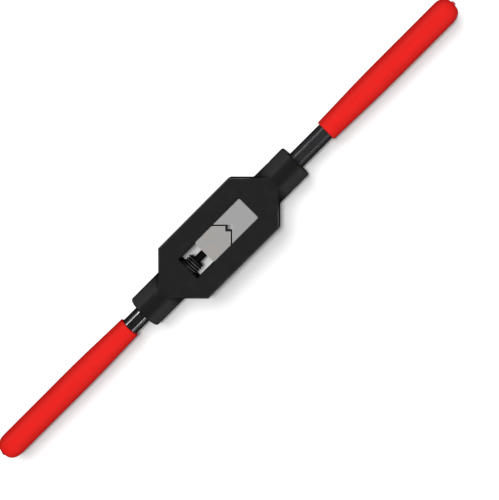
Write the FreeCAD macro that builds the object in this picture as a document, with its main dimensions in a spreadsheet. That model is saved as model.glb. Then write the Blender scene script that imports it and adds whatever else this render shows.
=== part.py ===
"""Bar-type adjustable tap wrench for M4 to M12 taps.

X runs along the handles, towards the fixed one. Y runs across the frame and Z is up, along the tap.
The origin is on the underside of the frame, at its middle. Each piece is drawn about the handles'
axis and then lifted to it. Sizes are in millimetres.
"""
import FreeCAD, Part
import os
import Sketcher

doc = FreeCAD.newDocument("tap_wrench")
sheet = doc.addObject("Spreadsheet::Sheet", "sizes")

driving = [
    ("body_thickness", 16.4, "height of the frame's flat plate"),
    ("body_length", 94.2, "over the two bosses"),
    ("plate_width", 30.8, "across the plate"),
    ("plate_side", 43.2, "length of each straight side, before the 45 degree tapers"),
    ("plate_edge_round", 0.7, "radius along the plate's outer edges"),
    ("boss_diameter", 16.2, "round bosses that carry the handles"),
    ("boss_end_round", 1.0, "radius at each boss's outer end"),
    ("window_length", 37.4, "opening for the jaws"),
    ("window_width", 11.8, "opening for the jaws"),
    ("window_corner", 0.5, "radius in the window's corners"),
    ("window_rim", 0.3, "rounding of the window's top and bottom rims"),
    ("mouth_chamfer", 0.5, "chamfer at the outer end of each bore"),
    ("jaw_recess", 0.4, "jaws lie this far under the plate's faces"),
    ("jaw_play", 0.05, "between each jaw side and the window"),
    ("jaw_edge", 0.2, "chamfer along the jaws' top and bottom edges"),
    ("fixed_jaw_length", 16.0, "from the points of the 90 degree vee to its back"),
    ("fixed_jaw_bore_depth", 6.5, "blind hole for the fixed handle's spigot"),
    ("moving_jaw_length", 14.5, "from its back to its points"),
    ("notch_width", 3.3, "90 degree notch in the moving jaw's nose"),
    ("jaw_gap", 1.05, "travel left before the jaws meet"),
    ("jaw_back_wall", 3.0, "metal between the moving jaw's back and its head slot"),
    ("rail_height", 4.0, "guide rails on the window's long walls"),
    ("rail_reach", 0.3, "how far each rail stands out"),
    ("rail_stop", 0.2, "rails end this far before the fixed jaw"),
    ("rail_play", 0.1, "between a rail and its groove"),
    ("handle_diameter", 8.0, "both handle rods"),
    ("rod_chamfer", 0.6, "at the rods' ends"),
    ("running_clearance", 0.1, "radial, between the spindle and its bore"),
    ("thread_diameter", 8.0, "spindle thread"),
    ("thread_pitch", 1.25, "spindle thread"),
    ("thread_length", 29.0, "spindle thread, from its inner end"),
    ("thread_play", 0.2, "radial, between the two threads"),
    ("thread_side_play", 0.06, "added to each flank along the axis"),
    ("nut_length", 12.4, "thread in the frame, from the window outwards"),
    ("relief_length", 2.5, "plain groove at the blind end of a thread"),
    ("relief_clearance", 0.1, "radial, past the thread's deepest point"),
    ("neck_length", 5.4, "from the moving jaw's back to the thread"),
    ("neck_diameter", 3.4, "spindle neck in the jaw's slot"),
    ("head_diameter", 6.0, "spindle head in the jaw"),
    ("head_length", 2.0, "spindle head in the jaw"),
    ("head_play", 0.1, "each side of the spindle head and neck in their slot"),
    ("spigot_diameter", 5.0, "end of the fixed handle, in the fixed jaw"),
    ("spigot_length", 6.0, "end of the fixed handle, in the fixed jaw"),
    ("spigot_play", 0.05, "radial, between the spigot and the jaw"),
    ("pin_diameter", 3.0, "slotted spring pin through boss and handle"),
    ("pin_wall", 0.55, "slotted spring pin"),
    ("pin_gap", 0.7, "slot along the spring pin"),
    ("pin_length", 15.0, "slotted spring pin"),
    ("pin_inset", 9.0, "from the boss's end to the pin"),
    ("spindle_reach", 137.4, "from the frame's middle to the spindle grip's tip"),
    ("fixed_reach", 142.6, "from the frame's middle to the fixed grip's tip"),
    ("spindle_grip_length", 81.4, "dipped grip"),
    ("fixed_grip_length", 77.5, "dipped grip"),
    ("grip_wall", 1.85, "thickest part of a grip, on the rod"),
    ("grip_waist_wall", 1.5, "partway to the mouth"),
    ("grip_waist_at", 17.0, "from the mouth"),
    ("grip_mouth_wall", 1.0, "at the mouth"),
    ("grip_mouth_round", 0.6, "lip of the grip"),
    ("grip_full_at", 34.0, "where the grip reaches its full diameter"),
    ("grip_nose_length", 5.0, "rounded end of a grip"),
    ("grip_tip_cover", 3.0, "grip material past the end of the rod"),
    ("drip_diameter", 2.5, "nub left by the last drop at the tip"),
    ("drip_length", 1.0, "nub left by the last drop at the tip"),
]
derived = [
    ("axis_height", "body_thickness / 2"),
    ("body_end", "body_length / 2"),
    ("boss_radius", "boss_diameter / 2"),
    ("plate_half_width", "plate_width / 2"),
    ("plate_shoulder", "plate_side / 2"),
    ("plate_point", "(plate_side + plate_width) / 2"),
    ("window_end", "window_length / 2"),
    ("window_half", "window_width / 2"),
    ("jaw_half", "window_half - jaw_play"),
    ("jaw_height", "body_thickness - 2 * jaw_recess"),
    ("jaw_top", "jaw_height / 2"),
    ("fixed_jaw_tips", "window_end - fixed_jaw_length"),
    ("fixed_jaw_apex", "fixed_jaw_tips + jaw_half"),
    ("notch_half", "notch_width / 2"),
    ("nose_apex", "fixed_jaw_apex - jaw_gap"),
    ("nose_shoulder", "nose_apex - jaw_half"),
    ("nose_tip", "nose_apex - notch_half"),
    ("notch_apex", "nose_tip - notch_half"),
    ("jaw_back", "nose_tip - moving_jaw_length"),
    ("rail_end", "fixed_jaw_tips - rail_stop"),
    ("rail_length", "rail_end + window_end"),
    ("rail_inner", "window_half - rail_reach"),
    ("rail_top", "rail_height / 2"),
    ("groove_floor", "rail_inner - rail_play"),
    ("groove_top", "rail_top + rail_play"),
    ("handle_radius", "handle_diameter / 2"),
    ("running_radius", "max(handle_radius; thread_radius) + running_clearance"),
    ("thread_radius", "thread_diameter / 2"),
    ("thread_depth", "0.6134 * thread_pitch"),
    ("root_radius", "thread_radius - thread_depth"),
    ("slope", "tan(30)"),
    ("crest_half", "thread_pitch / 16"),
    ("root_half", "thread_pitch / 2 - crest_half - thread_depth * slope"),
    ("cut_over", "thread_depth / 2"),
    ("cut_out_radius", "thread_radius + cut_over"),
    ("cut_out_half", "thread_pitch / 2 - crest_half + cut_over * slope"),
    ("nut_minor", "root_radius + thread_play"),
    ("nut_major", "thread_radius + thread_play"),
    ("nut_crest_half", "crest_half + thread_side_play"),
    ("nut_in_radius", "nut_minor - cut_over"),
    ("nut_in_half", "nut_crest_half + (nut_major - nut_in_radius) * slope"),
    ("nut_relief", "nut_major + relief_clearance"),
    ("nut_end", "-window_end - nut_length"),
    ("nut_relief_end", "nut_end - relief_length"),
    ("spindle_shoulder", "jaw_back - neck_length"),
    ("thread_end", "spindle_shoulder - thread_length"),
    ("thread_relief_end", "thread_end - relief_length"),
    ("thread_relief", "root_radius - relief_clearance"),
    ("turns_to_window", "floor((spindle_shoulder + window_end - thread_pitch / 2) / thread_pitch)"),
    ("spindle_cut_start", "spindle_shoulder + thread_pitch"),
    ("spindle_cut_length", "spindle_cut_start - thread_end + relief_length / 2"),
    ("nut_cut_start", "spindle_shoulder + thread_pitch / 2 - turns_to_window * thread_pitch"),
    ("nut_cut_length", "nut_cut_start - nut_end + relief_length / 2"),
    ("neck_radius", "neck_diameter / 2"),
    ("neck_slot_half", "neck_radius + head_play"),
    ("head_radius", "head_diameter / 2"),
    ("head_slot_half", "head_radius + head_play"),
    ("head_slot_start", "jaw_back + jaw_back_wall"),
    ("head_slot_end", "head_slot_start + head_length + 2 * head_play"),
    ("head_start", "head_slot_start + head_play"),
    ("head_end", "head_start + head_length"),
    ("neck_slot_depth", "jaw_top + neck_slot_half"),
    ("head_slot_depth", "jaw_top + head_slot_half"),
    ("spigot_radius", "spigot_diameter / 2"),
    ("spigot_end", "window_end - spigot_length"),
    ("jaw_bore_radius", "spigot_radius + spigot_play"),
    ("jaw_bore_end", "window_end - fixed_jaw_bore_depth"),
    ("pin_radius", "pin_diameter / 2"),
    ("pin_bore", "pin_radius - pin_wall"),
    ("pin_place", "body_end - pin_inset"),
    ("spindle_rod_end", "-(spindle_reach - grip_tip_cover)"),
    ("fixed_rod_end", "fixed_reach - grip_tip_cover"),
    ("spindle_mouth", "-(spindle_reach - spindle_grip_length)"),
    ("fixed_mouth", "fixed_reach - fixed_grip_length"),
    ("grip_radius", "handle_radius + grip_wall"),
    ("grip_waist_radius", "handle_radius + grip_waist_wall"),
    ("grip_mouth_radius", "handle_radius + grip_mouth_wall"),
    ("drip_radius", "drip_diameter / 2"),
    ("spindle_mouth_radius", "running_radius + mouth_chamfer"),
    ("handle_mouth_radius", "handle_radius + mouth_chamfer"),
    ("body_mouth", "body_end - mouth_chamfer"),
    ("rail_root", "window_half + rail_play"),
    ("corner_clearance", "window_corner + jaw_play"),
    ("jaw_bore_point", "jaw_bore_end - jaw_bore_radius / 2"),
    ("nut_cut_left_in", "nut_cut_start - nut_in_half"),
    ("nut_cut_right_in", "nut_cut_start + nut_in_half"),
    ("nut_cut_left_out", "nut_cut_start - nut_crest_half"),
    ("nut_cut_right_out", "nut_cut_start + nut_crest_half"),
    ("cut_left_out", "spindle_cut_start - cut_out_half"),
    ("cut_right_out", "spindle_cut_start + cut_out_half"),
    ("cut_left_root", "spindle_cut_start - root_half"),
    ("cut_right_root", "spindle_cut_start + root_half"),
    ("thread_lead", "spindle_shoulder - thread_depth"),
    ("rod_end_radius", "handle_radius - rod_chamfer"),
    ("spindle_rod_edge", "spindle_rod_end + rod_chamfer"),
    ("fixed_rod_edge", "fixed_rod_end - rod_chamfer"),
    ("spindle_grip_skin", "spindle_grip_length - drip_length"),
    ("fixed_grip_skin", "fixed_grip_length - drip_length"),
    ("spindle_grip_drip_root", "spindle_grip_skin - drip_length"),
    ("fixed_grip_drip_root", "fixed_grip_skin - drip_length"),
    ("spindle_grip_bore", "spindle_grip_length - grip_tip_cover"),
    ("fixed_grip_bore", "fixed_grip_length - grip_tip_cover"),
    ("spindle_grip_bore_edge", "spindle_grip_bore - rod_chamfer"),
    ("fixed_grip_bore_edge", "fixed_grip_bore - rod_chamfer"),
    ("drip_round", "drip_length * 0.8"),
    ("pin_half_length", "pin_length / 2"),
    ("pin_gap_half", "pin_gap / 2"),
]


def fill_sheet():
    """Write every size as text with its alias, then the values worked out from them."""
    rows = [(alias, str(value), note) for alias, value, note in driving]
    rows += [(alias, "=" + formula, "") for alias, formula in derived]
    for row, (alias, text, note) in enumerate(rows, start=1):
        sheet.set(f"A{row}", alias)
        sheet.set(f"B{row}", text)
        sheet.set(f"C{row}", note)
        sheet.setAlias(f"B{row}", alias)
    doc.recompute()


def size(alias):
    """Value of a named size, as a number."""
    sign = -1 if alias.startswith("-") else 1
    value = sheet.get(alias.lstrip("-"))
    return sign * float(getattr(value, "Value", value))


def bind(thing, path, alias):
    """Tie a property or a constraint to a named size."""
    sign = "-" if alias.startswith("-") else ""
    thing.setExpression(path, f"{sign}sizes.{alias.lstrip('-')}")


def new_body(label):
    """An empty body, lifted so that its X axis is the handles' axis."""
    body = doc.addObject("PartDesign::Body", label)
    body.Label = label
    bind(body, "Placement.Base.z", "axis_height")
    return body


def new_sketch(body, name, plane, offset=None):
    """A sketch on one of the body's origin planes, moved along the plane's normal by an offset."""
    sketch = body.newObject("Sketcher::SketchObject", name)
    origin_plane = next(f for f in body.Origin.OriginFeatures if f.Role == plane)
    sketch.AttachmentSupport = [(origin_plane, "")]
    sketch.MapMode = "FlatFace"
    if offset:
        bind(sketch, "AttachmentOffset.Base.z", offset)
    return sketch


def place_point(sketch, edge, end, across, up):
    """Hold one end of a sketch line at two named ordinates; zero is on the axis."""
    for kind, axis, alias in (("DistanceX", -2, across), ("DistanceY", -1, up)):
        if alias == 0:
            sketch.addConstraint(Sketcher.Constraint("PointOnObject", edge, end, axis))
            continue
        index = sketch.addConstraint(Sketcher.Constraint(kind, -1, 1, edge, end, size(alias)))
        bind(sketch, f"Constraints[{index}]", alias)


def outline(sketch, corners):
    """A closed outline of straight lines through corners given by the names of their sizes."""
    first = sketch.GeometryCount
    spots = [[0 if alias == 0 else size(alias) for alias in corner] for corner in corners]
    for here, there in zip(spots, spots[1:] + spots[:1]):
        sketch.addGeometry(Part.LineSegment(FreeCAD.Vector(*here, 0), FreeCAD.Vector(*there, 0)))
    for step, (across, up) in enumerate(corners):
        before = first + (step - 1) % len(corners)
        sketch.addConstraint(Sketcher.Constraint("Coincident", before, 2, first + step, 1))
        place_point(sketch, first + step, 1, across, up)
    return sketch


def circle(sketch, radius, across=0, up=0):
    """A circle of a named radius, at named ordinates."""
    spot = FreeCAD.Vector(size(across) if across else 0, size(up) if up else 0, 0)
    edge = sketch.addGeometry(Part.Circle(spot, FreeCAD.Vector(0, 0, 1), size(radius)))
    index = sketch.addConstraint(Sketcher.Constraint("Radius", edge, size(radius)))
    bind(sketch, f"Constraints[{index}]", radius)
    place_point(sketch, edge, 3, across, up)
    return sketch


def rectangle(across_low, across_high, up_low, up_high):
    """Corners of a rectangle."""
    return [(across_low, up_low), (across_high, up_low), (across_high, up_high), (across_low, up_high)]


def extrude(body, kind, name, sketch, length=None, side="Symmetric", reverse=False):
    """A pad or a pocket from a sketch; with no length it goes right through."""
    feature = body.newObject(f"PartDesign::{kind}", name)
    feature.Profile = sketch
    feature.SideType = side
    feature.Reversed = reverse
    if length:
        bind(feature, "Length", length)
    else:
        feature.Type = "ThroughAll"
    doc.recompute()
    return feature


def turn(body, kind, name, sketch):
    """A revolution or a groove about the handles' axis."""
    feature = body.newObject(f"PartDesign::{kind}", name)
    feature.Profile = sketch
    feature.ReferenceAxis = (sketch, ["H_Axis"])
    feature.Angle = 360
    doc.recompute()
    return feature


def helix_cut(body, name, sketch, length):
    """A right-hand helical cut that runs from its sketch towards the spindle's grip."""
    feature = body.newObject("PartDesign::SubtractiveHelix", name)
    feature.Profile = sketch
    feature.ReferenceAxis = (sketch, ["H_Axis"])
    feature.Mode = "pitch-height-angle"
    bind(feature, "Pitch", "thread_pitch")
    bind(feature, "Height", length)
    feature.Reversed = True
    doc.recompute()
    return feature


def dress(body, kind, name, amount, chosen):
    """A fillet or a chamfer on the edges that a test picks from the body's last feature."""
    base = body.Tip
    names = [f"Edge{i}" for i, edge in enumerate(base.Shape.Edges, start=1) if chosen(edge)]
    feature = body.newObject(f"PartDesign::{kind}", name)
    feature.Base = (base, names)
    bind(feature, "Radius" if kind == "Fillet" else "Size", amount)
    doc.recompute()
    return feature


def near(value, alias):
    """True where a coordinate is at a named size."""
    return abs(value - size(alias)) < 0.001


def flat_in_z(edge):
    """True where an edge lies in one level plane."""
    return edge.BoundBox.ZLength < 0.001


def level(edge, alias):
    """True where a level edge is at the height of a named size, above or below the axis."""
    return flat_in_z(edge) and near(abs(edge.BoundBox.Center.z), alias)


def round_about_axis(edge, alias):
    """True where an edge is a circle about the handles' axis at a named place along it."""
    box = edge.BoundBox
    return box.XLength < 0.001 and near(box.Center.x, alias) and box.ZLength > 0.1


def plate_outline():
    """The plate's six corners: straight sides that taper at 45 degrees to points on the axis."""
    return [
        ("plate_point", 0),
        ("plate_shoulder", "plate_half_width"),
        ("-plate_shoulder", "plate_half_width"),
        ("-plate_point", 0),
        ("-plate_shoulder", "-plate_half_width"),
        ("plate_shoulder", "-plate_half_width"),
    ]


def bore_outline():
    """Half section of everything bored along the axis, from the spindle's side to the handle's."""
    return [
        ("-body_end", 0),
        ("-body_end", "spindle_mouth_radius"),
        ("-body_mouth", "running_radius"),
        ("nut_relief_end", "running_radius"),
        ("nut_relief_end", "nut_relief"),
        ("nut_end", "nut_relief"),
        ("nut_end", "nut_minor"),
        (0, "nut_minor"),
        (0, "handle_radius"),
        ("body_mouth", "handle_radius"),
        ("body_end", "handle_mouth_radius"),
        ("body_end", 0),
    ]


def make_body():
    """The frame: a tapered plate with a window, two bosses, guide rails, bores and the nut thread."""
    body = new_body("body")
    plate = outline(new_sketch(body, "plate_sketch", "XY_Plane"), plate_outline())
    extrude(body, "Pad", "plate", plate, "body_thickness")
    dress(body, "Fillet", "plate_round", "plate_edge_round", lambda e: level(e, "axis_height"))
    boss = circle(new_sketch(body, "boss_sketch", "YZ_Plane"), "boss_radius")
    extrude(body, "Pad", "boss", boss, "body_length")
    ends = ("body_end", "-body_end")
    dress(body, "Fillet", "boss_round", "boss_end_round",
          lambda e: any(round_about_axis(e, end) for end in ends))
    window = rectangle("-window_end", "window_end", "-window_half", "window_half")
    extrude(body, "Pocket", "window", outline(new_sketch(body, "window_sketch", "XY_Plane"), window))
    dress(body, "Fillet", "window_corners", "window_corner",
          lambda e: near(abs(e.BoundBox.Center.x), "window_end")
          and near(abs(e.BoundBox.Center.y), "window_half") and e.BoundBox.ZLength > 1)
    dress(body, "Fillet", "window_rims", "window_rim",
          lambda e: level(e, "axis_height") and abs(e.BoundBox.Center.x) < size("window_end") + 0.001
          and abs(e.BoundBox.Center.y) < size("window_half") + 0.001)
    rails = new_sketch(body, "rail_sketch", "YZ_Plane", "-window_end")
    outline(rails, rectangle("rail_inner", "rail_root", "-rail_top", "rail_top"))
    outline(rails, rectangle("-rail_root", "-rail_inner", "-rail_top", "rail_top"))
    extrude(body, "Pad", "rails", rails, "rail_length", side="One side")
    bores = outline(new_sketch(body, "bore_sketch", "XZ_Plane"), bore_outline())
    turn(body, "Groove", "bores", bores)
    pin_hole = circle(new_sketch(body, "pin_sketch", "XZ_Plane"), "pin_radius", "pin_place", 0)
    extrude(body, "Pocket", "pin_hole", pin_hole)
    tooth = outline(new_sketch(body, "nut_sketch", "XZ_Plane"), [
        ("nut_cut_left_in", "nut_in_radius"),
        ("nut_cut_right_in", "nut_in_radius"),
        ("nut_cut_right_out", "nut_major"),
        ("nut_cut_left_out", "nut_major"),
    ])
    helix_cut(body, "nut_thread", tooth, "nut_cut_length")
    return body


def make_fixed_jaw():
    """Hardened insert with a 90 degree vee, held by the fixed handle's spigot in its back."""
    body = new_body("fixed_jaw")
    shape = outline(new_sketch(body, "jaw_sketch", "XY_Plane"), [
        ("window_end", "-jaw_half"),
        ("window_end", "jaw_half"),
        ("fixed_jaw_tips", "jaw_half"),
        ("fixed_jaw_apex", 0),
        ("fixed_jaw_tips", "-jaw_half"),
    ])
    extrude(body, "Pad", "jaw", shape, "jaw_height")
    dress(body, "Chamfer", "corner_chamfers", "corner_clearance",
          lambda e: near(e.BoundBox.Center.x, "window_end") and e.BoundBox.ZLength > 1)
    dress(body, "Chamfer", "edge_chamfers", "jaw_edge", lambda e: level(e, "jaw_top"))
    hole = outline(new_sketch(body, "hole_sketch", "XZ_Plane"), [
        ("jaw_bore_point", 0),
        ("jaw_bore_end", "jaw_bore_radius"),
        ("window_end", "jaw_bore_radius"),
        ("window_end", 0),
    ])
    turn(body, "Groove", "hole", hole)
    return body


def make_moving_jaw():
    """Sliding jaw: pointed nose with a notch, grooves for the rails and a slot for the spindle."""
    body = new_body("moving_jaw")
    shape = outline(new_sketch(body, "jaw_sketch", "XY_Plane"), [
        ("jaw_back", "jaw_half"),
        ("jaw_back", "-jaw_half"),
        ("nose_shoulder", "-jaw_half"),
        ("nose_tip", "-notch_half"),
        ("notch_apex", 0),
        ("nose_tip", "notch_half"),
        ("nose_shoulder", "jaw_half"),
    ])
    extrude(body, "Pad", "jaw", shape, "jaw_height")
    dress(body, "Chamfer", "corner_chamfers", "corner_clearance",
          lambda e: near(e.BoundBox.Center.x, "jaw_back") and e.BoundBox.ZLength > 1)
    dress(body, "Chamfer", "edge_chamfers", "jaw_edge", lambda e: level(e, "jaw_top"))
    grooves = new_sketch(body, "groove_sketch", "YZ_Plane")
    outline(grooves, rectangle("groove_floor", "rail_root", "-groove_top", "groove_top"))
    outline(grooves, rectangle("-rail_root", "-groove_floor", "-groove_top", "groove_top"))
    extrude(body, "Pocket", "grooves", grooves)
    neck_slot = outline(new_sketch(body, "neck_slot_sketch", "XY_Plane", "-jaw_top"),
                        rectangle("jaw_back", "head_slot_start", "-neck_slot_half", "neck_slot_half"))
    extrude(body, "Pocket", "neck_slot", neck_slot, "neck_slot_depth", "One side", True)
    head_slot = outline(new_sketch(body, "head_slot_sketch", "XY_Plane", "-jaw_top"),
                        rectangle("head_slot_start", "head_slot_end", "-head_slot_half", "head_slot_half"))
    extrude(body, "Pocket", "head_slot", head_slot, "head_slot_depth", "One side", True)
    return body


def make_spindle():
    """Adjusting handle: rod, right-hand thread, and the neck and head that pull the moving jaw."""
    body = new_body("spindle")
    section = outline(new_sketch(body, "rod_sketch", "XZ_Plane"), [
        ("head_end", 0),
        ("head_end", "head_radius"),
        ("head_start", "head_radius"),
        ("head_start", "neck_radius"),
        ("spindle_shoulder", "neck_radius"),
        ("spindle_shoulder", "root_radius"),
        ("thread_lead", "thread_radius"),
        ("thread_end", "thread_radius"),
        ("thread_end", "thread_relief"),
        ("thread_relief_end", "thread_relief"),
        ("thread_relief_end", "handle_radius"),
        ("spindle_rod_edge", "handle_radius"),
        ("spindle_rod_end", "rod_end_radius"),
        ("spindle_rod_end", 0),
    ])
    turn(body, "Revolution", "rod", section)
    tooth = outline(new_sketch(body, "thread_sketch", "XZ_Plane"), [
        ("cut_left_out", "cut_out_radius"),
        ("cut_left_root", "root_radius"),
        ("cut_right_root", "root_radius"),
        ("cut_right_out", "cut_out_radius"),
    ])
    helix_cut(body, "thread", tooth, "spindle_cut_length")
    return body


def make_fixed_handle():
    """Plain handle rod, pressed into its boss, with a spigot that locks the fixed jaw."""
    body = new_body("fixed_handle")
    section = outline(new_sketch(body, "rod_sketch", "XZ_Plane"), [
        ("spigot_end", 0),
        ("spigot_end", "spigot_radius"),
        ("window_end", "spigot_radius"),
        ("window_end", "handle_radius"),
        ("fixed_rod_edge", "handle_radius"),
        ("fixed_rod_end", "rod_end_radius"),
        ("fixed_rod_end", 0),
    ])
    turn(body, "Revolution", "rod", section)
    pin_hole = circle(new_sketch(body, "pin_sketch", "XZ_Plane"), "pin_radius", "pin_place", 0)
    extrude(body, "Pocket", "pin_hole", pin_hole)
    return body


def make_grip(label, length, mouth, bore_end, facing):
    """Vinyl grip dipped onto a rod, drawn from its mouth and turned to face along the rod."""
    body = new_body(label)
    section = outline(new_sketch(body, "grip_sketch", "XZ_Plane"), [
        (0, "handle_radius"),
        (0, "grip_mouth_radius"),
        ("grip_waist_at", "grip_waist_radius"),
        ("grip_full_at", "grip_radius"),
        (f"{label}_skin", "grip_radius"),
        (f"{label}_skin", 0),
        (bore_end, 0),
        (bore_end, "rod_end_radius"),
        (f"{label}_bore_edge", "handle_radius"),
    ])
    turn(body, "Revolution", "skin", section)
    dress(body, "Fillet", "lip", "grip_mouth_round",
          lambda e: e.BoundBox.XMax < 0.001 and e.BoundBox.ZMax > size("handle_radius") + 0.001)
    dress(body, "Fillet", "nose", "grip_nose_length",
          lambda e: round_about_axis(e, f"{label}_skin"))
    drop = outline(new_sketch(body, "drip_sketch", "XZ_Plane"), [
        (f"{label}_drip_root", 0),
        (f"{label}_drip_root", "drip_radius"),
        (length, "drip_radius"),
        (length, 0),
    ])
    turn(body, "Revolution", "drip", drop)
    dress(body, "Fillet", "drip_end", "drip_round", lambda e: round_about_axis(e, length))
    bind(body, "Placement.Base.x", mouth)
    body.Placement.Rotation = FreeCAD.Rotation(FreeCAD.Vector(0, 0, 1), facing)
    return body


def make_pin():
    """Slotted spring pin, driven across the boss and the handle rod."""
    outer = doc.addObject("Part::Cylinder", "pin_outer")
    inner = doc.addObject("Part::Cylinder", "pin_inner")
    slot = doc.addObject("Part::Box", "pin_slot")
    for part, radius in ((outer, "pin_radius"), (inner, "pin_bore")):
        bind(part, "Radius", radius)
        bind(part, "Height", "pin_length")
        part.Placement.Rotation = FreeCAD.Rotation(FreeCAD.Vector(1, 0, 0), 90)
        bind(part, "Placement.Base.y", "pin_half_length")
    bind(slot, "Length", "pin_diameter")
    bind(slot, "Width", "pin_length")
    bind(slot, "Height", "pin_gap")
    bind(slot, "Placement.Base.y", "-pin_half_length")
    bind(slot, "Placement.Base.z", "-pin_gap_half")
    tube = doc.addObject("Part::Cut", "pin_tube")
    tube.Base = outer
    tube.Tool = inner
    pin = doc.addObject("Part::Cut", "handle_pin")
    pin.Base = tube
    pin.Tool = slot
    pin.Label = "handle_pin"
    bind(pin, "Placement.Base.x", "pin_place")
    bind(pin, "Placement.Base.z", "axis_height")
    return pin


fill_sheet()
pieces = [
    make_body(),
    make_fixed_jaw(),
    make_moving_jaw(),
    make_spindle(),
    make_fixed_handle(),
    make_grip("spindle_grip", "spindle_grip_length", "spindle_mouth", "spindle_grip_bore", 180),
    make_grip("fixed_grip", "fixed_grip_length", "fixed_mouth", "fixed_grip_bore", 0),
    make_pin(),
]
doc.recompute()

for item in doc.Objects:
    if "Invalid" in item.State or "Error" in item.State:
        raise RuntimeError(f"{item.Label} did not build: {item.State}")
for piece in pieces:
    if piece.Shape.isNull() or not piece.Shape.isValid() or len(piece.Shape.Solids) != 1:
        raise RuntimeError(f"{piece.Label} is not one valid solid")

os.makedirs("parts", exist_ok=True)
for piece in pieces:
    piece.Shape.exportStep(f"parts/{piece.Label}.step")
    box = piece.Shape.BoundBox
    extent = f"{box.XLength:.2f} x {box.YLength:.2f} x {box.ZLength:.2f}"
    print(f"{piece.Label}: {piece.Shape.Volume:.1f} mm3, {extent}")
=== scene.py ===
# Looks for a bar-type tap wrench: black cast frame, ground jaws, polished spindle, red dipped grips.
import bpy
import bmesh
import math
from mathutils import Matrix, Vector


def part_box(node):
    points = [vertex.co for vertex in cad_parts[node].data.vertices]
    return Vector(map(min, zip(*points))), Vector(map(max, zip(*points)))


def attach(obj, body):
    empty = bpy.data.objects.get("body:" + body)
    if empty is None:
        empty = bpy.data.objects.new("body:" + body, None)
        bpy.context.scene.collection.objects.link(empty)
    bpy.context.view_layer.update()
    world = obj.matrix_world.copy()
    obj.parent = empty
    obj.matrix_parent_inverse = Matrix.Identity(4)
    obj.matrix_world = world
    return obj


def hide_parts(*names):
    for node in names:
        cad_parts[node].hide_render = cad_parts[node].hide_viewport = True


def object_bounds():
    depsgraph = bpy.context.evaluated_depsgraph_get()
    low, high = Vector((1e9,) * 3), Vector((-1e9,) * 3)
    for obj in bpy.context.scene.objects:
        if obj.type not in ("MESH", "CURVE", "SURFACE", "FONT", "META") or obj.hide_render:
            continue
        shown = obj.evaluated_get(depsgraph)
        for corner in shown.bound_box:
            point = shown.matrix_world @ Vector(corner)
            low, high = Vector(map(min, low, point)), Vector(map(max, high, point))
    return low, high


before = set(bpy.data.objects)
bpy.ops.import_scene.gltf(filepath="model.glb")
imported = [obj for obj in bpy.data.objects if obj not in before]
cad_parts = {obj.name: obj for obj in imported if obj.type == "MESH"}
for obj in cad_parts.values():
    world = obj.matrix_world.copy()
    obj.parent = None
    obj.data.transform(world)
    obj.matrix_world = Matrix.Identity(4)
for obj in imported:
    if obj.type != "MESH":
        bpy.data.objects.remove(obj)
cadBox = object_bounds()

mm = 0.001
spindleLow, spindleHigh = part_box("spindle")
axisHeight = (spindleLow.z + spindleHigh.z) / 2 / mm  # of the handles' common axis, in mm
rodRadius = (spindleHigh.z - spindleLow.z) / 2 / mm
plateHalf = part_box("body")[1].z / mm - axisHeight  # half the plate's thickness
print("frame loaded: axis", round(axisHeight, 2), "mm above the bench, rods", round(2 * rodRadius, 2), "mm")


# Node trees are written as sums on sockets

class Wire:
    def __init__(self, tree, made, output):
        self.tree = tree
        self.made = made
        self.socket = made.outputs[output]

    def out(self, output):  # another output of the same node
        return Wire(self.tree, self.made, output)

    def maths(self, operation, first, second=0.0):
        return self.tree.node("ShaderNodeMath", {"operation": operation}, {0: first, 1: second})

    def __add__(self, other):
        return self.maths("ADD", self, other)

    def __radd__(self, other):
        return self.maths("ADD", other, self)

    def __sub__(self, other):
        return self.maths("SUBTRACT", self, other)

    def __rsub__(self, other):
        return self.maths("SUBTRACT", other, self)

    def __mul__(self, other):
        return self.maths("MULTIPLY", self, other)

    def __rmul__(self, other):
        return self.maths("MULTIPLY", other, self)

    def __truediv__(self, other):
        return self.maths("DIVIDE", self, other)

    def __pow__(self, other):
        return self.maths("POWER", self, other)

    def __abs__(self):
        return self.maths("ABSOLUTE", self)

    def floor(self):
        return self.maths("FLOOR", self)

    def root(self):
        return self.maths("SQRT", self)

    def sine(self):
        return self.maths("SINE", self)

    def cosine(self):
        return self.maths("COSINE", self)

    def most(self, other):
        return self.maths("MAXIMUM", self, other)


class Tree:
    def __init__(self, nodeTree):
        self.nodeTree = nodeTree
        nodeTree.nodes.clear()

    def node(self, kind, settings, inputs, output=0):
        made = self.nodeTree.nodes.new(kind)
        for name, value in settings.items():
            setattr(made, name, value)
        for key, value in inputs.items():
            if isinstance(value, Wire):
                self.nodeTree.links.new(value.socket, made.inputs[key])
            else:
                made.inputs[key].default_value = value
        return Wire(self, made, output) if made.outputs else None

    def mixColour(self, amount, first, second):
        return self.node("ShaderNodeMix", {"data_type": "RGBA"}, {0: amount, 6: first, 7: second}, 2)

    def smooth(self, value, low, high):  # 0 below low, 1 above high
        settings = {"interpolation_type": "SMOOTHSTEP"}
        return self.node("ShaderNodeMapRange", settings, {0: value, 1: low, 2: high})

    def stretched(self, place, scale):
        return self.node("ShaderNodeVectorMath", {"operation": "MULTIPLY"}, {0: place, 1: scale})

    def joined(self, x, y, z):
        return self.node("ShaderNodeCombineXYZ", {}, {0: x, 1: y, 2: z})

    def upright(self):  # 1 on faces that look up or down, 0 on the sides
        facing = self.node("ShaderNodeNewGeometry", {}, {}, "Normal")
        return abs(self.node("ShaderNodeSeparateXYZ", {}, {0: facing}).out(2))

    def noise(self, place, scale, detail=2.0, roughness=0.5):
        inputs = {"Vector": place, "Scale": scale, "Detail": detail, "Roughness": roughness}
        return self.node("ShaderNodeTexNoise", {}, inputs)


def colour(red, green, blue):  # 0 to 255 as seen on a screen, to the linear values that shaders use
    def linear(level):
        part = level / 255
        return part / 12.92 if part <= 0.04045 else ((part + 0.055) / 1.055) ** 2.4
    return (linear(red), linear(green), linear(blue), 1.0)


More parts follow.
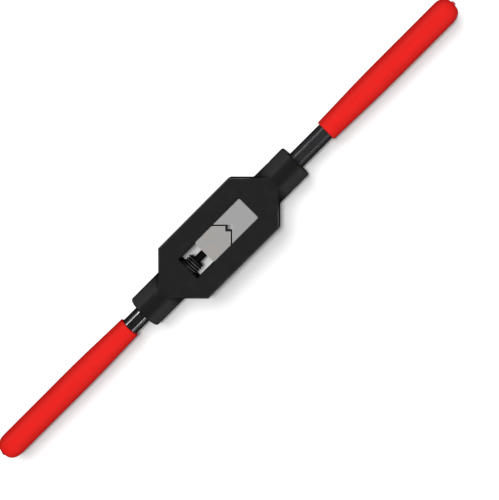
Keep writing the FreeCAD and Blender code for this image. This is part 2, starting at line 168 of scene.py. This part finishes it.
def newFinish(name):  # a material, its tree, and the place on the object in mm
    material = bpy.data.materials.new(name)
    material.use_nodes = True
    tree = Tree(material.node_tree)
    metres = tree.node("ShaderNodeTexCoord", {}, {}, "Object")
    return material, tree, tree.stretched(metres, (1 / mm, 1 / mm, 1 / mm))


def finishWith(tree, inputs, height, depth):  # depth of the bump in mm
    normal = tree.node("ShaderNodeBump", {}, {"Strength": 1.0, "Distance": depth * mm, "Height": height})
    shader = tree.node("ShaderNodeBsdfPrincipled", {}, {**inputs, "Normal": normal})
    tree.node("ShaderNodeOutputMaterial", {}, {"Surface": shader})


def dress(nodeName, material):
    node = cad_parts[nodeName]
    node.data.materials.clear()
    node.data.materials.append(material)


# Black finish of the cast frame: a fine tumbled skin, rubbed greyer along the plate's rounded edges, partly
# wear and partly a painted rim highlight; the bosses carry painted reflections, a darker top and greyer
# sides

castLook = {
    "skin": colour(31, 31, 31),
    "dusty": colour(35, 34, 34),
    # rubbed: edge wear that also serves as a painted rim highlight
    "rubbedWithRimHighlight": colour(106, 105, 104),
    "paintedBossTopShade": colour(25, 25, 25),
    "flank": colour(64, 64, 63),
    "flankFrom": 1.5,      # mm from the middle, where the painted reflection on the bosses' sides starts
    "flankTo": 9.0,
    "bossFrom": 30.0,      # mm from the centre, where the plate gives way to the bosses
    "bossTo": 36.0,
    "paintedTopShadeAmount": 0.8,
    "grainSize": 0.22,     # mm
    "mottleSize": 5.0,     # mm
    "scuffScale": 1.3,     # larger is finer; scuffs are six times longer than wide
    "scuffAmount": 0.25,
    "edgeWidth": 0.75,     # mm, how far the rub and its painted rim highlight reach down from a flat face
    "rimFrom": 7.5,        # mm from the middle, where the rub and painted rim highlight of the edges start and are full
    "rimTo": 11.0,
    "roughness": 0.42,
    "grainRoughness": 0.14,
    "mottleRoughness": 0.1,
    "bump": 0.03,          # mm
}


def makeCastFinish():
    look = castLook
    material, tree, place = newFinish("castBlack")
    parts = tree.node("ShaderNodeSeparateXYZ", {}, {0: place})
    along = abs(parts)
    across = abs(parts.out(1))
    height = abs(parts.out(2) - axisHeight)
    upright = tree.upright()
    grain = tree.noise(place, 1 / look["grainSize"], 3.0, 0.6)
    mottle = tree.noise(place, 1 / look["mottleSize"], 4.0, 0.55)
    rim = tree.smooth(across, look["rimFrom"], look["rimTo"])
    nearFace = rim * tree.smooth(height, plateHalf - look["edgeWidth"], plateHalf - 0.1)
    turned = upright * (1.0 - upright) * 4.0  # 1 where a rounded edge has turned half way
    # the rub on the rounded edges is partly wear and partly a painted rim highlight; the scuffs added next
    # are wear
    rubAndRimHighlight = nearFace * turned * (0.7 + tree.smooth(mottle, 0.35, 0.7) * 0.3)
    scuffs = tree.noise(tree.stretched(place, (0.25, 1.6, 1.6)), look["scuffScale"], 5.0, 0.7)
    rubAndRimHighlight = rubAndRimHighlight + tree.smooth(scuffs, 0.66, 0.8) * look["scuffAmount"]
    base = tree.mixColour(tree.smooth(mottle, 0.4, 0.75), look["skin"], look["dusty"])
    onBoss = tree.smooth(along, look["bossFrom"], look["bossTo"])
    flank = onBoss * tree.smooth(across, look["flankFrom"], look["flankTo"])
    # painted reflections on the bosses, set by position: a darker top and greyer sides
    base = tree.mixColour(onBoss * look["paintedTopShadeAmount"], base, look["paintedBossTopShade"])
    base = tree.mixColour(flank, base, look["flank"])
    base = tree.mixColour(rubAndRimHighlight, base, look["rubbedWithRimHighlight"])
    roughness = look["roughness"] + (grain - 0.5) * look["grainRoughness"]
    roughness = roughness + (mottle - 0.5) * look["mottleRoughness"] - rubAndRimHighlight * 0.1
    finishWith(tree, {"Base Color": base, "Roughness": roughness}, grain + mottle * 0.6, look["bump"])
    return material


# Sintered and ground steel of the jaws, with a painted highlight along their edges

jawLook = {
    "steel": colour(196, 196, 196),
    "warm": colour(203, 197, 191),
    "stain": colour(165, 162, 157),
    "bright": colour(215, 215, 213),
    # edge: the colour of a painted highlight along the jaws' edges
    "edge": colour(250, 249, 247),
    "lineSize": 0.09,      # mm between grinding lines
    "cloudSize": 4.0,      # mm
    "poreScale": 6.0,      # per mm
    "stainAmount": 0.35,
    "lineAmount": 0.25,
    "poreAmount": 0.3,
    "metallic": 0.45,
    "roughness": 0.42,
    "lineRoughness": 0.2,
    "cloudRoughness": 0.12,
    "bump": 0.012,         # mm
}


def makeJawFinish(name, tint):
    look = jawLook
    material, tree, place = newFinish(name)
    lines = tree.noise(tree.stretched(place, (0.05, 1 / look["lineSize"], 1.0)), 1.0, 2.0, 0.6)
    clouds = tree.noise(place, 1 / look["cloudSize"], 4.0, 0.6)
    pores = tree.noise(place, look["poreScale"], 2.0, 0.5)
    upright = tree.upright()
    # a painted highlight on the edges, where the faces turn between flat and upright
    paintedEdgeHighlight = tree.smooth(upright, 0.3, 0.5) * (1.0 - tree.smooth(upright, 0.85, 0.95))
    base = tree.mixColour(tree.smooth(clouds, 0.35, 0.7), look["steel"], tint)
    base = tree.mixColour(tree.smooth(clouds, 0.58, 0.8) * look["stainAmount"], base, look["stain"])
    base = tree.mixColour(tree.smooth(lines, 0.6, 0.85) * look["lineAmount"], base, look["bright"])
    base = tree.mixColour(tree.smooth(pores, 0.68, 0.75) * look["poreAmount"], base, look["stain"])
    base = tree.mixColour(paintedEdgeHighlight, base, look["edge"])
    roughness = look["roughness"] + (lines - 0.5) * look["lineRoughness"]
    roughness = roughness + (clouds - 0.5) * look["cloudRoughness"]
    finishWith(tree, {"Base Color": base, "Metallic": look["metallic"], "Roughness": roughness},
               lines * 0.5 - tree.smooth(pores, 0.66, 0.76), look["bump"])
    return material


# Spindle: polished steel outside the frame, with painted shade over the thread and neck, and painted
# highlights on the thread's crests

spindleLook = {
    "polished": colour(205, 206, 208),
    "smoky": colour(170, 170, 172),
    "paintedThreadShade": colour(26, 26, 27),
    "crest": colour(168, 166, 162),
    "threadEnd": -43.0,    # mm, where the bright rod starts
    "fade": 0.3,           # mm
    "crestRadius": 3.9,    # mm, painted brighter outside this as a highlight on the thread's crests
    "ringSize": 0.12,      # mm between turning marks
    "smokeScale": 0.16,    # per mm
    "metallic": 0.97,
    "blackMetallic": 0.42,
    "roughness": 0.13,
    "blackRoughness": 0.38,
    "ringRoughness": 0.06,
    "scratchRoughness": 0.08,
    "bump": 0.006,         # mm
}


def makeSpindleFinish():
    look = spindleLook
    material, tree, place = newFinish("spindleSteel")
    parts = tree.node("ShaderNodeSeparateXYZ", {}, {0: place})
    across = parts.out(1)
    above = parts.out(2) - axisHeight
    radius = (across * across + above * above).root()
    # painted shade: the thread and neck inside the frame are coloured dark
    paintedThreadShade = tree.smooth(parts, look["threadEnd"] - look["fade"], look["threadEnd"] + look["fade"])
    rings = tree.noise(tree.stretched(place, (1 / look["ringSize"], 0.12, 0.12)), 1.0, 2.0, 0.6)
    scratches = tree.noise(tree.stretched(place, (0.5, 7.0, 7.0)), 1.0, 4.0, 0.7)
    smoke = tree.noise(place, look["smokeScale"], 3.0, 0.6)
    bright = tree.mixColour(tree.smooth(smoke, 0.45, 0.75), look["polished"], look["smoky"])
    # a painted highlight on the thread's crests
    paintedCrestHighlight = tree.smooth(radius, look["crestRadius"] - 0.15, look["crestRadius"] + 0.1)
    dark = tree.mixColour(paintedCrestHighlight * tree.smooth(smoke, 0.2, 0.6), look["paintedThreadShade"], look["crest"])
    base = tree.mixColour(paintedThreadShade, bright, dark)
    metallic = look["metallic"] + paintedThreadShade * (look["blackMetallic"] - look["metallic"])
    roughness = look["roughness"] + paintedThreadShade * (look["blackRoughness"] - look["roughness"])
    roughness = roughness + (rings - 0.5) * look["ringRoughness"]
    roughness = roughness + (scratches - 0.5) * look["scratchRoughness"]
    finishWith(tree, {"Base Color": base, "Metallic": metallic, "Roughness": roughness},
               rings * 0.4 + scratches * 0.3, look["bump"])
    return material


# Fixed handle: drawn bar with black oxide

handleLook = {
    "oxide": colour(98, 98, 99),
    "blue": colour(96, 98, 104),
    "bare": colour(120, 117, 113),
    "drawSize": 0.35,      # mm between drawing lines
    "speckleScale": 3.2,   # per mm
    "bareAmount": 0.35,
    "speckleAmount": 0.3,
    "metallic": 0.8,
    "roughness": 0.27,
    "tarnishRoughness": 0.16,
    "drawRoughness": 0.1,
    "bump": 0.012,         # mm
}


def makeHandleFinish():
    look = handleLook
    material, tree, place = newFinish("oxideBlack")
    drawn = tree.stretched(place, (0.03, 1 / look["drawSize"], 1 / look["drawSize"]))
    draw = tree.noise(drawn, 1.0, 3.0, 0.6)
    tarnish = tree.noise(tree.stretched(place, (0.12, 0.5, 0.5)), 1.0, 4.0, 0.6)
    speckle = tree.noise(place, look["speckleScale"], 3.0, 0.6)
    base = tree.mixColour(tree.smooth(tarnish, 0.4, 0.7), look["oxide"], look["blue"])
    bare = tree.smooth(draw, 0.64, 0.85) * look["bareAmount"]
    bare = bare + tree.smooth(speckle, 0.7, 0.8) * look["speckleAmount"]
    base = tree.mixColour(bare, base, look["bare"])
    roughness = look["roughness"] + (tarnish - 0.5) * look["tarnishRoughness"]
    roughness = roughness + (draw - 0.5) * look["drawRoughness"]
    finishWith(tree, {"Base Color": base, "Metallic": look["metallic"], "Roughness": roughness},
               draw + speckle * 0.3, look["bump"])
    return material


# Slotted pin: spring steel, tempered brownish

pinLook = {
    "steel": colour(150, 148, 145),
    "temper": colour(112, 98, 84),
    "metallic": 0.9,
    "roughness": 0.3,
    "cloudRoughness": 0.2,
    "lineRoughness": 0.1,
    "bump": 0.008,         # mm
}


def makePinFinish():
    look = pinLook
    material, tree, place = newFinish("pinSteel")
    cloud = tree.noise(place, 0.9, 4.0, 0.6)
    lines = tree.noise(tree.stretched(place, (4.0, 0.3, 4.0)), 1.0, 2.0, 0.6)
    base = tree.mixColour(tree.smooth(cloud, 0.4, 0.65), look["steel"], look["temper"])
    roughness = look["roughness"] + (cloud - 0.5) * look["cloudRoughness"]
    roughness = roughness + (lines - 0.5) * look["lineRoughness"]
    finishWith(tree, {"Base Color": base, "Metallic": look["metallic"], "Roughness": roughness},
               lines, look["bump"])
    return material


# Dipped vinyl of the grips

vinylLook = {
    "red": colour(234, 30, 24),
    "deep": colour(231, 27, 22),
    "bloom": colour(238, 48, 40),
    "dripTint": colour(196, 120, 128),
    "dripFrom": 1.1,       # mm in from the tip, where the drip's tint starts and is full
    "dripTo": 0.5,
    "dripAmount": 0.8,
    "bloomAmount": 0.15,
    "peelSize": 0.9,       # mm
    "specular": 0.3,
    "roughness": 0.5,
    "flowRoughness": 0.14,
    "fineRoughness": 0.06,
    "bump": 0.03,          # mm
}


def makeVinylFinish(tips):  # tips are the two grips' ends along the axis, in mm
    look = vinylLook
    material, tree, place = newFinish("dippedRed")
    parts = tree.node("ShaderNodeSeparateXYZ", {}, {0: place})
    peel = tree.noise(place, 1 / look["peelSize"], 2.0, 0.45)
    flow = tree.noise(tree.stretched(place, (0.06, 0.35, 0.35)), 1.0, 3.0, 0.5)
    fine = tree.noise(place, 5.0, 2.0, 0.5)
    base = tree.mixColour(tree.smooth(flow, 0.3, 0.6), look["deep"], look["red"])
    base = tree.mixColour(tree.smooth(fine, 0.6, 0.75) * look["bloomAmount"], base, look["bloom"])
    middle = (tips[0] + tips[1]) / 2
    reach = (tips[1] - tips[0]) / 2
    drip = tree.smooth(abs(parts - middle), reach - look["dripFrom"], reach - look["dripTo"])
    base = tree.mixColour(drip * look["dripAmount"], base, look["dripTint"])
    roughness = look["roughness"] + (flow - 0.5) * look["flowRoughness"]
    roughness = roughness + (fine - 0.5) * look["fineRoughness"]
    inputs = {"Base Color": base, "Roughness": roughness, "Specular IOR Level": look["specular"]}
    finishWith(tree, inputs, peel + fine * 0.15, look["bump"])
    return material


castFinish = makeCastFinish()
tips = (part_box("spindle_grip")[0].x / mm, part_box("fixed_grip")[1].x / mm)
vinylFinish = makeVinylFinish(tips)
dress("body", castFinish)
dress("fixed_jaw", makeJawFinish("fixedJawSteel", jawLook["steel"]))
dress("moving_jaw", makeJawFinish("movingJawSteel", jawLook["warm"]))
dress("spindle", makeSpindleFinish())
dress("fixed_handle", makeHandleFinish())
dress("handle_pin", makePinFinish())
print("finishes made")


# Grips: a skin of vinyl dipped on the rod, turned about the rod's axis with the unevenness of dipping

gripLook = {
    "mouthWall": 1.0,      # mm of vinyl on the rod, at the mouth
    "waistWall": 1.5,
    "fullWall": 1.79,
    "waistAt": 17.0,       # mm from the mouth
    "fullAt": 34.0,
    "lipRound": 0.4,
    "noseLength": 5.6,     # mm of rounded end
    "tipCover": 3.0,       # mm of vinyl past the rod's end
    "dripRadius": 1.2,
    "dripLength": 1.0,
    "unevenness": 0.05,    # mm
    "raggedness": 0.45,    # mm along the rod, at the mouth
    "around": 96,
    "dripFlare": 1.35,     # the nose narrows to this many drip radii
    "noseBlunt": 0.86,     # 1 is an ellipse, less is blunter
    "dripBlunt": 0.8,
    "dripSink": 0.05,      # mm that the drip starts inside the nose
    "skinEnd": 0.006,      # share of the outside that the lip takes up
    "waveScale": 0.045,    # long waves, per mm along the rod
    "sag": 0.4,            # thicker underside, in shares of the unevenness
}
gripPoints = {  # along each run of the outline
    "boreFloor": 4,
    "bore": 24,
    "innerLip": 6,
    "outerLip": 9,
    "outside": 110,
    "nose": 22,
    "drip": 14,
}


def makeGripTree():
    group = bpy.data.node_groups.new("dippedGrip", "GeometryNodeTree")
    group.interface.new_socket("Geometry", in_out="OUTPUT", socket_type="NodeSocketGeometry")
    names = ["Mouth", "Tip", "Facing", "Axis Height", "Rod Radius", "Mouth Wall", "Waist Wall", "Full Wall",
             "Waist At", "Full At", "Lip Round", "Nose Length", "Tip Cover", "Drip Radius", "Drip Length",
             "Unevenness", "Raggedness", "Seed"]
    for name in names:
        group.interface.new_socket(name, in_out="INPUT", socket_type="NodeSocketFloat")
    group.interface.new_socket("Vinyl", in_out="INPUT", socket_type="NodeSocketMaterial")
    tree = Tree(group)
    given = tree.node("NodeGroupInput", {}, {})
    size = {name: given.out(name) for name in names}
    rod = size["Rod Radius"]
    length = size["Tip"] - size["Drip Length"]

    def stretch(name, alongAt, radiusAt):  # a run of outline points; t goes from 0 to 1
        count = gripPoints[name]
        line = tree.node("GeometryNodeMeshLine", {}, {"Count": count})
        t = tree.node("GeometryNodeInputIndex", {}, {}) / float(count - 1)
        spot = tree.joined(alongAt(t), radiusAt(t), 0.0)
        return tree.node("GeometryNodeSetPosition", {}, {"Geometry": line, "Position": spot})

    def wall(along):  # thickness of vinyl: mouth to waist to full
        first = tree.smooth(along, size["Waist At"] * -0.3, size["Waist At"] * 1.3)
        second = tree.smooth(along, size["Waist At"] * 0.7, size["Full At"])
        rise = size["Waist Wall"] - size["Mouth Wall"]
        return size["Mouth Wall"] + rise * first + (size["Full Wall"] - size["Waist Wall"]) * second

    quarter = math.pi / 2

    def risen(t):  # 0 to 1, steep at first
        return (t * quarter).sine()

    def fallen(t):  # 1 to 0, steep at last
        return (t * quarter).cosine()

    look = gripLook
    lip = size["Lip Round"]
    boreEnd = size["Tip"] - size["Drip Length"] - size["Tip Cover"]
    noseStart = length - size["Nose Length"]
    outside = noseStart - lip
    full = rod + size["Full Wall"]
    mouthWall = wall(lip)
    noseEnd = size["Drip Radius"] * look["dripFlare"]
    dripStart = length - look["dripSink"]
    runs = [
        stretch("boreFloor", lambda t: boreEnd, lambda t: rod * t),
        stretch("bore", lambda t: boreEnd + (lip - boreEnd) * t, lambda t: rod),
        stretch("innerLip", lambda t: lip - lip * risen(t), lambda t: rod + lip * 0.5 * (1.0 - fallen(t))),
        stretch("outerLip", lambda t: lip - lip * fallen(t),
                lambda t: rod + mouthWall - (mouthWall - lip * 0.5) * (1.0 - risen(t))),
        stretch("outside", lambda t: lip + outside * (look["skinEnd"] + t * (1.0 - look["skinEnd"])),
                lambda t: rod + wall(lip + outside * t)),
        stretch("nose", lambda t: noseStart + size["Nose Length"] * risen(t),
                lambda t: noseEnd + (full - noseEnd) * fallen(t) ** look["noseBlunt"]),
        stretch("drip", lambda t: dripStart + (size["Tip"] - dripStart) * risen(t),
                lambda t: size["Drip Radius"] * fallen(t) ** look["dripBlunt"]),
    ]
    rows = sum(gripPoints.values())
    outline = tree.node("GeometryNodeJoinGeometry", {}, {})
    for run in reversed(runs):  # the last link made is the first to be joined
        group.links.new(run.socket, outline.made.inputs[0])
    around = look["around"] + 1
    grid = tree.node("GeometryNodeMeshGrid", {}, {"Vertices X": rows, "Vertices Y": around})
    index = tree.node("GeometryNodeInputIndex", {}, {})
    row = (index / float(around) + 0.0001).floor()
    turn = (index - row * float(around)) * (2 * math.pi / (around - 1))
    spot = tree.node("GeometryNodeInputPosition", {}, {})
    settings = {"data_type": "FLOAT_VECTOR", "domain": "POINT"}
    inputs = {"Geometry": outline, "Value": spot, "Index": row}
    sample = tree.node("GeometryNodeSampleIndex", settings, inputs)
    along = tree.node("ShaderNodeSeparateXYZ", {}, {0: sample})
    radius = along.out(1)
    # dipping leaves long shallow waves, a slightly thicker underside and a wandering edge at the mouth
    ring = tree.joined(along * look["waveScale"] + size["Seed"], turn.cosine() * 0.9, turn.sine() * 0.9)
    wave = tree.noise(ring, 1.0, 2.0, 0.5) - 0.5
    edgeRing = tree.joined(size["Seed"] * 3.7, turn.cosine() * 1.3, turn.sine() * 1.3)
    ragged = (tree.noise(edgeRing, 1.0, 3.0, 0.6) - 0.35).most(0.0)
    onSkin = tree.smooth(radius, rod + 0.25, rod + 0.5) * (1.0 - tree.smooth(along, noseStart, length))
    nearMouth = 1.0 - tree.smooth(along, 0.6, 5.0)
    newAlong = along + nearMouth * ragged * size["Raggedness"] * 2.0
    sag = turn.sine() * -look["sag"]
    newRadius = radius + onSkin * size["Unevenness"] * (wave * 2.0 + sag - look["sag"] / 2)
    placed = tree.joined(size["Mouth"] + size["Facing"] * newAlong, newRadius * turn.cosine(),
                         newRadius * turn.sine() + size["Axis Height"])
    placed = tree.stretched(placed, (mm, mm, mm))
    skin = tree.node("GeometryNodeSetPosition", {}, {"Geometry": grid, "Position": placed})
    skin = tree.node("GeometryNodeMergeByDistance", {}, {"Geometry": skin, "Distance": 0.002 * mm})
    skin = tree.node("GeometryNodeSetShadeSmooth", {}, {"Geometry": skin})
    skin = tree.node("GeometryNodeRealizeInstances", {}, {"Geometry": skin})
    skin = tree.node("GeometryNodeSetMaterial", {}, {"Geometry": skin, "Material": given.out("Vinyl")})
    tree.node("NodeGroupOutput", {}, {0: skin})
    return group


gripTree = makeGripTree()


def plainMesh(name, group, values):  # the tree's result as an ordinary mesh object
    holder = bpy.data.objects.new(name + "Holder", bpy.data.meshes.new(name + "Holder"))
    bpy.context.scene.collection.objects.link(holder)
    modifier = holder.modifiers.new("shape", "NODES")
    modifier.node_group = group
    for item in group.interface.items_tree:
        if item.in_out == "INPUT":
            modifier[item.identifier] = values[item.name]
    bpy.context.view_layer.update()
    evaluated = holder.evaluated_get(bpy.context.evaluated_depsgraph_get())
    mesh = bpy.data.meshes.new_from_object(evaluated)
    holder.modifiers.clear()
    bpy.data.objects.remove(holder)
    turnOutward(mesh)
    mesh.name = name
    made = bpy.data.objects.new(name, mesh)
    bpy.context.scene.collection.objects.link(made)
    return made


def turnOutward(mesh):
    work = bmesh.new()
    work.from_mesh(mesh)
    bmesh.ops.recalc_face_normals(work, faces=work.faces)
    work.to_mesh(mesh)
    work.free()


def makeGrip(name, node, body, facing, seed):  # facing: +1 where the tip is towards +X
    look = gripLook
    low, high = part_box(node)
    mouth = (low.x if facing > 0 else high.x) / mm
    values = {
        "Mouth": mouth, "Tip": (high.x - low.x) / mm, "Facing": float(facing), "Axis Height": axisHeight,
        "Rod Radius": rodRadius, "Mouth Wall": look["mouthWall"], "Waist Wall": look["waistWall"],
        "Full Wall": look["fullWall"], "Waist At": look["waistAt"], "Full At": look["fullAt"],
        "Lip Round": look["lipRound"], "Nose Length": look["noseLength"], "Tip Cover": look["tipCover"],
        "Drip Radius": look["dripRadius"], "Drip Length": look["dripLength"],
        "Unevenness": look["unevenness"], "Raggedness": look["raggedness"], "Seed": seed,
        "Vinyl": vinylFinish,
    }
    grip = plainMesh(name, gripTree, values)
    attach(grip, body)
    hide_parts(node)
    print(name, "made:", len(grip.data.polygons), "faces")


makeGrip("spindleGrip", "spindle_grip", "spindle", -1, 2.3)
makeGrip("fixedGrip", "fixed_grip", "frame", 1, 6.1)


# Cast radius in the corner between the bosses and the plate's sloping sides

blendLook = {
    "radius": 3.0,         # mm
    "steps": 72,           # along the corner
    "arcSteps": 7,
    "hide": 0.06,          # mm that the fillet's edges go under the casting's skin
    "past": 0.06,          # share of the arc that runs on past each touching point
    "bury": 0.4,           # mm from the corner to the fillet's hidden back
    "reach": 86,           # degrees round the boss, up and down
}
plateLook = {"nose": 37.0, "edgeRound": 0.7, "bossRadius": 8.1}  # mm, as the casting has them


def blendSection(phi):  # a ball rolling in the corner, at angle phi round the boss, touches it and the side
    ball = blendLook["radius"]
    boss = plateLook["bossRadius"]
    edge = plateLook["edgeRound"]
    across = (boss + ball) * math.cos(phi)
    above = (boss + ball) * math.sin(phi)
    over = max(abs(above) - (plateHalf - edge), 0.0)
    offset = math.sqrt((ball + edge) ** 2 - over ** 2) - edge
    along = plateLook["nose"] + offset * math.sqrt(2) - across
    centre = Vector((along, across, above))
    toBoss = Vector((0, -math.cos(phi), -math.sin(phi)))
    slope = (offset + edge) / math.sqrt(2) / (ball + edge)
    toSide = Vector((-slope, -slope, -math.copysign(over, above) / (ball + edge)))
    hide = blendLook["hide"]
    past = blendLook["past"]
    ring = []
    for step in range(blendLook["arcSteps"] + 1):
        part = (1 + 2 * past) * step / blendLook["arcSteps"] - past
        ring.append(centre + ball * toBoss.slerp(toSide, part))
    ring[0] = ring[0] + toBoss * hide
    ring[-1] = ring[-1] + toSide * hide
    corner = (toBoss + toSide) * (ball / (1 + toBoss.dot(toSide)))
    ring.append(centre + corner + (toBoss + toSide).normalized() * blendLook["bury"])
    return ring


def makeCastBlends():
    work = bmesh.new()
    for endSide in (1, -1):
        for crossSide in (1, -1):
            rings = []
            for step in range(blendLook["steps"] + 1):
                phi = math.radians(blendLook["reach"] * (2 * step / blendLook["steps"] - 1))
                ring = blendSection(phi)
                spots = [Vector((p.x * endSide, p.y * crossSide, p.z + axisHeight)) for p in ring]
                rings.append([work.verts.new(spot * mm) for spot in spots])
            count = len(rings[0])
            for first, second in zip(rings, rings[1:]):
                for place in range(count):
                    after = (place + 1) % count
                    work.faces.new([first[place], first[after], second[after], second[place]])
            work.faces.new(rings[0])
            work.faces.new(rings[-1])
    bmesh.ops.recalc_face_normals(work, faces=work.faces)
    mesh = bpy.data.meshes.new("castBlends")
    work.to_mesh(mesh)
    work.free()
    mesh.shade_smooth()
    mesh.materials.append(castFinish)
    blends = bpy.data.objects.new("castBlends", mesh)
    bpy.context.scene.collection.objects.link(blends)
    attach(blends, "frame")
    print("castBlends made:", len(mesh.polygons), "faces")


makeCastBlends()


# Studio: pale floor, soft light from above, narrow strips and dim panels that the round metal mirrors

floorLook = {
    "size": 6.0,           # m
    "below": 0.02,         # mm under the tool
    "tone": colour(247, 247, 247),
    "glow": 0.06,
}


def makeFloor():
    work = bmesh.new()
    bmesh.ops.create_grid(work, x_segments=1, y_segments=1, size=floorLook["size"] / 2)
    mesh = bpy.data.meshes.new("floor")
    work.to_mesh(mesh)
    work.free()
    mesh.transform(Matrix.Translation((0, 0, cadBox[0].z - floorLook["below"] * mm)))
    material = bpy.data.materials.new("paleFloor")
    material.use_nodes = True
    tree = Tree(material.node_tree)
    inputs = {"Base Color": floorLook["tone"], "Roughness": 1.0, "Specular IOR Level": 0.0,
              "Emission Color": (1, 1, 1, 1), "Emission Strength": floorLook["glow"]}
    shader = tree.node("ShaderNodeBsdfPrincipled", {}, inputs)
    tree.node("ShaderNodeOutputMaterial", {}, {"Surface": shader})
    mesh.materials.append(material)
    floor = bpy.data.objects.new("floor", mesh)
    bpy.context.scene.collection.objects.link(floor)
    floor.visible_glossy = False
    floor.visible_diffuse = False
    lit = []
    for name, state in (("floorLit", "INCLUDE"), ("toolLit", "EXCLUDE")):
        group = bpy.data.collections.new(name)
        group.objects.link(floor)
        group.collection_objects[0].light_linking.link_state = state
        lit.append(group)
    return lit


# side is +1 towards +Y, sizes and distance in m, radiance 1 is screen white, mirrored: seen in gloss
lights = [
    {"name": "topPanel", "elevation": 86, "side": -1, "away": 1.0, "long": 1.2, "wide": 1.1,
     "radiance": 2.5, "mirrored": False},
    {"name": "upperStrip", "elevation": 40, "side": 1, "away": 0.7, "long": 1.6, "wide": 0.07,
     "radiance": 3.0, "mirrored": True},
    {"name": "lowerStrip", "elevation": 31, "side": -1, "away": 0.7, "long": 1.6, "wide": 0.05,
     "radiance": 2.1, "mirrored": True},
    {"name": "lowerPanel", "elevation": 12, "side": -1, "away": 0.8, "long": 1.6, "wide": 0.4,
     "radiance": 0.1, "mirrored": True},
    {"name": "upperPanel", "elevation": 22, "side": 1, "away": 0.8, "long": 1.6, "wide": 0.25,
     "radiance": 0.12, "mirrored": True},
]
# these light the floor alone, evenly to its far edge; spread is how soft the shadow is, in degrees
floorLights = [
    {"name": "floorHigh", "elevation": 85, "side": 1, "spread": 11.0, "level": 0.5},
    {"name": "floorLow", "elevation": 60, "side": 1, "spread": 38.0, "level": 0.55},
]


def lightFacing(look, away):  # seen from the origin, in the plane across the tool
    slant = math.radians(look["elevation"])
    back = Vector((0, look["side"] * math.cos(slant), math.sin(slant)))
    right = Vector((1, 0, 0))
    turned = Matrix((right, back.cross(right), back)).transposed()
    return Matrix.Translation(back * away) @ turned.to_4x4()


def makeLamp(look, kind, away, receivers):
    lamp = bpy.data.lights.new(look["name"], kind)
    made = bpy.data.objects.new(look["name"], lamp)
    bpy.context.scene.collection.objects.link(made)
    made.matrix_world = lightFacing(look, away)
    made.light_linking.receiver_collection = receivers
    return made


def makeLights(floorLit, toolLit):
    for look in lights:
        made = makeLamp(look, "AREA", look["away"], toolLit)
        made.data.shape = "RECTANGLE"
        made.data.size = look["long"]
        made.data.size_y = look["wide"]
        made.data.energy = look["radiance"] * math.pi * look["long"] * look["wide"]
        made.visible_glossy = look["mirrored"]
    for look in floorLights:
        made = makeLamp(look, "SUN", 1.0, floorLit)
        made.data.angle = math.radians(look["spread"])
        made.data.energy = look["level"] * math.pi / math.sin(math.radians(look["elevation"]))
        made.visible_glossy = False


worldLook = {"strength": 0.2}


def makeWorld():
    world = bpy.data.worlds.new("studio")
    world.use_nodes = True
    tree = Tree(world.node_tree)
    sky = tree.node("ShaderNodeBackground", {}, {"Strength": worldLook["strength"], "Color": (1, 1, 1, 1)})
    tree.node("ShaderNodeOutputWorld", {}, {"Surface": sky})
    world.cycles_visibility.glossy = False
    bpy.context.scene.world = world


floorLit, toolLit = makeFloor()
makeLights(floorLit, toolLit)
makeWorld()
bpy.context.scene.view_settings.view_transform = "Standard"


cameraLook = {
    "eye": Vector((0.07138, 0.0004, 0.66246)),
    "aim": Vector((0.00527, -0.01318, axisHeight * mm)),
    "roll": 45.085,        # degrees, from the picture's right edge to +X
    "focal": 108.6,        # mm
    "sensor": 36.0,        # mm
}


def makeCamera():
    look = cameraLook
    lens = bpy.data.cameras.new("camera")
    lens.lens = look["focal"]
    lens.sensor_width = look["sensor"]
    lens.clip_start = 0.01
    lens.clip_end = 20.0
    made = bpy.data.objects.new("camera", lens)
    bpy.context.scene.collection.objects.link(made)
    back = (look["eye"] - look["aim"]).normalized()
    roll = math.radians(look["roll"])
    upHint = Vector((math.sin(roll), math.cos(roll), 0))
    right = upHint.cross(back).normalized()
    turned = Matrix((right, back.cross(right), back)).transposed()
    made.matrix_world = Matrix.Translation(look["eye"]) @ turned.to_4x4()
    bpy.context.scene.camera = made


makeCamera()
print("studio and camera set")
